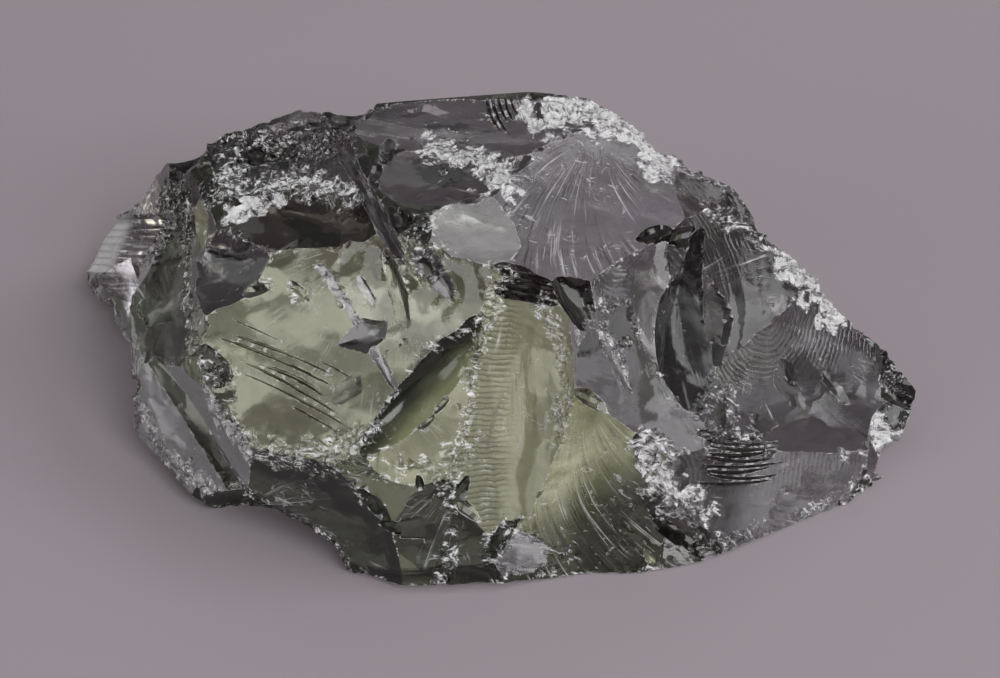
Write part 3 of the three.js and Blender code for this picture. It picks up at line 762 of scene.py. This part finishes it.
def makeStone():
    mesh, blows = knapped()
    for _ in range(crush["rounds"]):
        refine(mesh)
    points, faces, numbers = readMesh(mesh)
    print("refined:", len(faces), "triangles")
    amount, reach, frost = bruise(points, faces, numbers)
    # a painted highlight: a thin white line along the edges of the big and whole breaks
    big = np.array([scar["whole"] or scar["mouth"][0] > crush["edgeMouth"] for scar in blows])
    starts, ends, _ = ridgesOf(points, faces, np.where(big[numbers], numbers, -1), crush["edge"])
    _, off = nearest(points, np.vstack([starts, ends]))
    addMark(mesh, "edge", "FLOAT", "POINT", off < crush["touching"])
    points, sheen = crumble(mesh, points, faces, amount, reach)
    # some crumbs are clear and some are powder
    frost = crush["whiteGain"] * (frost * amount)[faces].mean(axis=1)
    frost = np.clip(frost + crush["sheen"] * (sheen - crush["clearShare"]), 0, 1)
    # the frost carries the white of crushing and the painted highlights of the glint patches
    addMark(mesh, "frost", "FLOAT", "FACE", frost * (amount[faces].mean(axis=1) > crush["least"]))
    markFaces(mesh, points, faces, numbers, blows)
    mesh.polygons.foreach_set("use_smooth", (amount[faces].max(axis=1) < crush["smooth"]).tolist())
    mesh.set_sharp_from_angle(angle=math.radians(crush["sharp"]))
    mesh.update()
    print("bruised:", round(float((amount > 0.3).mean()), 3), "of the points")
    mesh.name = "andaraCrystal"
    return bpy.data.objects.new("andaraCrystal", mesh)


def linear(hexColour):
    # sRGB hex to the linear values the renderer works in
    parts = [int(hexColour[k:k + 2], 16) / 255 for k in (1, 3, 5)]
    return [part / 12.92 if part <= 0.04045 else ((part + 0.055) / 1.055) ** 2.4 for part in parts] + [1]


def addNode(tree, kind, settings=None, operation=None):
    # one node: a key is a socket, by name or number, or else an attribute of the node, and a value
    # that is a socket, or a node whose first output is meant, is linked
    node = tree.nodes.new("ShaderNode" + kind)
    if operation:
        node.operation = operation
    for key, value in (settings or {}).items():
        value = value.outputs[0] if isinstance(value, bpy.types.Node) else value
        if isinstance(value, bpy.types.NodeSocket):
            tree.links.new(value, node.inputs[key])
        elif isinstance(key, int) or key in node.inputs:
            node.inputs[key].default_value = value
        else:
            setattr(node, key, value)
    return node


# Slag glass, broken by hammer. A clean break is as smooth as poured glass, so it is all gloss and
# see-through; the crushed ridges scatter light and look white.
glassLook = {
    # the white of crushed glass, also used for the painted highlights
    "crushed": "#fbfafb",
    # painted shade: what a feather line or a rung's trough goes dark to
    "shadow": "#272725",  # what a feather line goes dark to
    "ior": 1.51,
    "absorption": "#7d8070",
    "density": 8.0,  # per metre
    "relief": 0.12,  # height of the fine feather lines, mm
    "fineLines": 1.8,  # how many of them to each hackle of the break
    "rungGap": 0.6,  # mm
    "rungSway": 7.0,  # how uneven the rungs are, radians
    "swirl": 1.613,  # size of the swirls of white powder, mm
    "patch": 6.25,  # of the patches with feather lines
    "sway": 1.429,  # of the bends in a rung
    "cloud": 3.03,  # and of the clouds in the tint
    # each tint is the glass's colour with painted shade in it: a break is made lighter or darker for the
    # tone it shows under these lamps
    "tintsAndShades": {
        "clear": "#f6f5f4", "lilac": "#d6d0d9", "greyLilac": "#aaa5ad", "darkLilac": "#716d72",
        "smoke": "#8a878a", "darkSmoke": "#4a484a", "brown": "#4b3f36", "umber": "#35302c",
        "yellowOlive": "#c9cb9a", "paleOlive": "#b4b596", "lightOlive": "#a2a57c", "olive": "#85885f",
        "deepOlive": "#5f5f54", "darkOlive": "#41442f", "nightOlive": "#1c1d14", "blackOlive": "#10110c",
    },
}


def perMetre(pattern):
    # its scale, from the size in mm of what repeats
    return 1 / (glassLook[pattern] * mm)


def whiteGlass(add, swirl, frost, edge):
    # how white it is: the crushed crumbs, and a painted highlight, a thin white line along the very edges,
    # broken here and there
    broken = add("Math", {0: swirl, 1: 1.8, 2: -0.95}, "MULTIPLY_ADD")
    highlightedEdge = add("Math", {0: edge, 1: broken}, "ADD")
    rim = add("MapRange", {0: highlightedEdge, "From Min": 0.8, "From Max": 1.0, "To Max": 0.6})
    # the swirls are sharpened, so that a crumb is either powder or nearly clear
    white = add("Math", {0: swirl, 1: 5.0, 2: -2.5}, "MULTIPLY_ADD")
    level = add("Math", {0: frost, 1: white}, "ADD")
    bruised = add("MapRange", {0: level, "From Min": 0.25, "From Max": 0.95})
    some = add("Math", {0: frost, 1: 0.02}, "GREATER_THAN")
    here = add("Math", {0: bruised, 1: some}, "MULTIPLY")
    return add("Math", {0: here, 1: rim}, "MAXIMUM")


def featherLines(add, grain, axes, place, feather):
    # lines fanned out from each blow; gives them, the patches where they may be, and their strength
    stretch = add("VectorMath", {0: grain, 1: (1.0, 0.05, 0.0)}, "MULTIPLY")
    lines = add("TexNoise", {"Vector": stretch, "Scale": glassLook["fineLines"], "Detail": 4,
                             "Roughness": 0.65})
    patch = add("TexNoise", {"Vector": place, "Scale": perMetre("patch"), "Detail": 2})
    # a break with strong hackles has them nearly all over
    ease = add("MapRange", {0: feather, "From Min": 0.05, "From Max": 0.5, "To Max": 0.22})
    spread = add("Math", {0: patch, 1: ease}, "ADD")
    where = add("MapRange", {0: spread, "From Min": 0.52, "From Max": 0.66})
    weight = add("MapRange", {0: feather, "From Max": 0.12, "To Min": 0.25, "To Max": 1.0})
    # not near the blow, where they would run together
    away = add("MapRange", {0: axes.outputs["Y"], "From Min": 1.0, "From Max": 6.0})
    begun = add("Math", {0: away, 1: weight}, "MULTIPLY")
    return lines, where, add("Math", {0: where, 1: begun}, "MULTIPLY")


def rungLines(add, axes, place, rungs):
    # fine rungs across a break that shivered, down one side of it; gives them, and their strength
    sway = add("TexNoise", {"Vector": place, "Scale": perMetre("sway"), "Detail": 2})
    turns = add("Math", {0: axes.outputs["Y"], 1: 2 * math.pi / glassLook["rungGap"]}, "MULTIPLY")
    swayed = add("Math", {0: sway, 1: glassLook["rungSway"], 2: turns}, "MULTIPLY_ADD")
    lines = add("Math", {0: swayed}, "SINE")
    side = add("MapRange", {0: axes.outputs["Z"], "From Min": -0.6, "From Max": 1.4})
    return lines, add("Math", {0: side, 1: rungs}, "MULTIPLY")


def tintAndPaintedShade(add, drawn, tint, feathers, feathered, rungs, shivered):
    # the tint of the break, and painted shade: the dark of feather lines and of the troughs between rungs
    cloud = add("TexNoise", {"Vector": drawn, "Scale": perMetre("cloud"), "Detail": 7, "Roughness": 0.7,
                             "Distortion": 1.5})
    # the melt was never quite mixed, so every tint drifts a little
    drift = add("MapRange", {0: cloud, "From Min": 0.3, "From Max": 0.6, "To Min": 0.78, "To Max": 1.07})
    drifted = add("VectorMath", {0: tint, "Scale": drift}, "SCALE")
    # painted shade of the feather lines and of the rung troughs
    dark = add("MapRange", {0: feathers, "From Min": 0.46, "From Max": 0.34, "To Max": 0.75})
    darkHere = add("Math", {0: dark, 1: feathered}, "MULTIPLY")
    troughs = add("MapRange", {0: rungs, "From Min": -0.1, "From Max": -1.0, "To Max": 0.5})
    troughsHere = add("Math", {0: troughs, 1: shivered}, "MULTIPLY")
    darkest = add("Math", {"use_clamp": True, 0: darkHere, 1: troughsHere}, "MAXIMUM")
    return add("Mix", {"data_type": "RGBA", 0: darkest, 6: drifted, 7: linear(glassLook["shadow"])})


def scatteredAndHighlighted(add, white, feathers, feathered, swirl, where):
    # all that is white: the white glass, bright feather lines that are a painted highlight, and loose
    # flecks of powder
    # painted highlight: bright feather lines
    bright = add("MapRange", {0: feathers, "From Min": 0.57, "From Max": 0.7, "To Max": 0.75})
    brightHere = add("Math", {0: bright, 1: feathered}, "MULTIPLY")
    streaked = add("Math", {0: white, 1: brightHere}, "MAXIMUM")
    flecks = add("MapRange", {0: swirl, "From Min": 0.59, "From Max": 0.68, "To Max": 0.6})
    flecksHere = add("Math", {0: flecks, 1: where}, "MULTIPLY")
    return add("Math", {0: streaked, 1: flecksHere}, "MAXIMUM")


def fineRelief(add, feathers, feathered, rungs, shivered, swirl, frost):
    # feather lines and rungs stand out, no break is quite plain, and crushed glass is all small faces
    strength = add("Math", {0: feathers, 1: feathered}, "MULTIPLY")
    height = add("Math", {0: rungs, 1: shivered}, "MULTIPLY")
    lines = add("Math", {0: height, 1: 0.09, 2: strength}, "MULTIPLY_ADD")
    coarse = add("Math", {0: frost, 1: 0.015}, "ADD")
    crumbs = add("Math", {0: swirl, 1: coarse}, "MULTIPLY")
    total = add("Math", {0: crumbs, 1: 4.0, 2: lines}, "MULTIPLY_ADD")
    return add("Bump", {"Strength": 1.0, "Distance": glassLook["relief"] * mm, "Height": total})


def freshBrokenGlass():
    material = bpy.data.materials.new("freshBrokenSlagGlass")
    material.use_nodes = True
    material.node_tree.nodes.clear()
    add = partial(addNode, material.node_tree)
    frost, edge, feather, rungMark, milk = (add("Attribute", {"attribute_name": name}).outputs["Fac"]
                                            for name in ("frost", "edge", "feather", "rungs", "milk"))
    tint = add("Attribute", {"attribute_name": "tint"})
    grain = add("Attribute", {"attribute_name": "grain"}).outputs["Vector"]
    axes = add("SeparateXYZ", {0: grain})
    place = add("TexCoord").outputs["Object"]
    # the melt was drawn out one way, and the swirls with it
    drawn = add("Mapping", {"vector_type": "TEXTURE", "Vector": place, "Rotation": (0, 0.5, 0.3),
                            "Scale": (2.0, 1.0, 1.0)})
    swirl = add("TexNoise", {"Vector": drawn, "Scale": perMetre("swirl"), "Detail": 5, "Roughness": 0.68,
                             "Distortion": 2.5})
    white = whiteGlass(add, swirl, frost, edge)
    feathers, where, feathered = featherLines(add, grain, axes, place, feather)
    rungs, shivered = rungLines(add, axes, place, rungMark)
    tintedAndShaded = tintAndPaintedShade(add, drawn, tint, feathers, feathered, rungs, shivered)
    # the white: crushing, and painted highlights along edges, glints and feather lines
    powder = scatteredAndHighlighted(add, white, feathers, feathered, swirl, where)
    colour = add("Mix", {"data_type": "RGBA", 0: powder, 6: tintedAndShaded.outputs[2],
                         7: linear(glassLook["crushed"])})
    # a milky break is a little rough, and some of its light comes back from just inside
    satin = add("Math", {0: milk, 1: 0.12}, "MULTIPLY")
    dim = add("Math", {0: milk, 1: -0.7, 2: 1.0}, "MULTIPLY_ADD")
    rough = add("MapRange", {0: powder, "To Min": satin, "To Max": 0.28})
    clear = add("MapRange", {0: powder, "To Min": dim, "To Max": 0.1})
    relief = fineRelief(add, feathers, feathered, rungs, shivered, swirl, frost)
    surface = add("BsdfPrincipled", {"IOR": glassLook["ior"], "Base Color": colour.outputs[2],
                                     "Roughness": rough, "Transmission Weight": clear, "Normal": relief})
    volume = add("VolumeAbsorption", {"Color": linear(glassLook["absorption"]),
                                      "Density": glassLook["density"]})
    add("OutputMaterial", {"Surface": surface, "Volume": volume})
    return material


stone = makeStone()
bpy.context.scene.collection.objects.link(stone)
stone.data.materials.clear()
stone.data.materials.append(freshBrokenGlass())
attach(stone, "root")
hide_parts("andara_crystal")
print("glass done")

studio = {
    "floor": "#aaa0a7",
    "floorSize": 3.0,  # m
    "gap": 0.1,  # the lump stands on its high points, a little clear of the floor, mm
    "windowSize": 0.6,  # m
    "windows": {  # where each stands, in m, and its power
        "keyWindow": ((0.46, -0.8, 0.92), 6.1),
        "sideWindow": ((0.92, 0.0, 0.92), 3.2),
        "lowRight": ((1.06, -0.61, 0.44), 3.8),
        "lowLeft": ((-1.06, -0.61, 0.44), 2.9),
        "backWindow": ((0.0, 0.92, 0.92), 0.6),
    },
    "below": "#272727",  # the room, darker below the horizon than overhead
    "above": "#7c7c7c",
    "room": 1.171,  # how bright it is
    "camera": (1.2, -210.0, 200.3),  # mm, as are the rest
    "target": (1.2, -4.1, 15.0),
    "lens": 91.8,
    "sensor": 36,
    "nearest": 10,  # nothing closer than this is seen
}


def makeFloor():
    half = studio["floorSize"] / 2
    corners = np.array([(-half, -half, 0), (half, -half, 0), (half, half, 0), (-half, half, 0)])
    floor = meshObject("floor", corners, [[0, 1, 2, 3]])
    # a sheet of studio paper: soft and even, with no gleam to compete with the glass
    material = bpy.data.materials.new("mattPaper")
    material.use_nodes = True
    surface = material.node_tree.nodes["Principled BSDF"]
    surface.inputs["Base Color"].default_value = linear(studio["floor"])
    surface.inputs["Roughness"].default_value = 0.9
    floor.data.materials.append(material)
    floor.location.z = -studio["gap"] * mm
    bpy.context.scene.collection.objects.link(floor)
    floor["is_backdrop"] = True


def lookAt(thing, at, target):
    thing.location = at
    thing.rotation_euler = (Vector(target) - Vector(at)).to_track_quat("-Z", "Y").to_euler()
    bpy.context.scene.collection.objects.link(thing)


def softLight(name, at, power):
    light = bpy.data.lights.new(name, "AREA")
    light.shape, light.size, light.energy = "SQUARE", studio["windowSize"], power
    lookAt(bpy.data.objects.new(name, light), at, (0, 0, 0))


def makeWorld():
    world = bpy.data.worlds.new("studio")
    bpy.context.scene.world = world
    world.use_nodes = True
    world.node_tree.nodes.clear()
    add = partial(addNode, world.node_tree)
    split = add("SeparateXYZ", {0: add("TexCoord").outputs["Generated"]})
    ramp = add("ValToRGB", {0: split.outputs["Z"]})
    low, high = ramp.color_ramp.elements
    low.color, high.color = linear(studio["below"]), linear(studio["above"])
    high.position = 0.5
    back = add("Background", {"Color": ramp, "Strength": studio["room"]})
    add("OutputWorld", {"Surface": back})


def makeCamera():
    camera = bpy.data.objects.new("camera", bpy.data.cameras.new("camera"))
    lookAt(camera, Vector(studio["camera"]) * mm, Vector(studio["target"]) * mm)
    camera.data.lens, camera.data.sensor_width = studio["lens"], studio["sensor"]
    camera.data.clip_start = studio["nearest"] * mm
    bpy.context.scene.camera = camera


makeFloor()
makeWorld()
for name, (at, power) in studio["windows"].items():
    softLight(name, at, power)
makeCamera()
bpy.context.scene.view_settings.view_transform = "Standard"
print("studio done")

plain = lambda box: [list(corner) for corner in box]
{"cad": plain(cadBox), "visual": plain(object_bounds())}
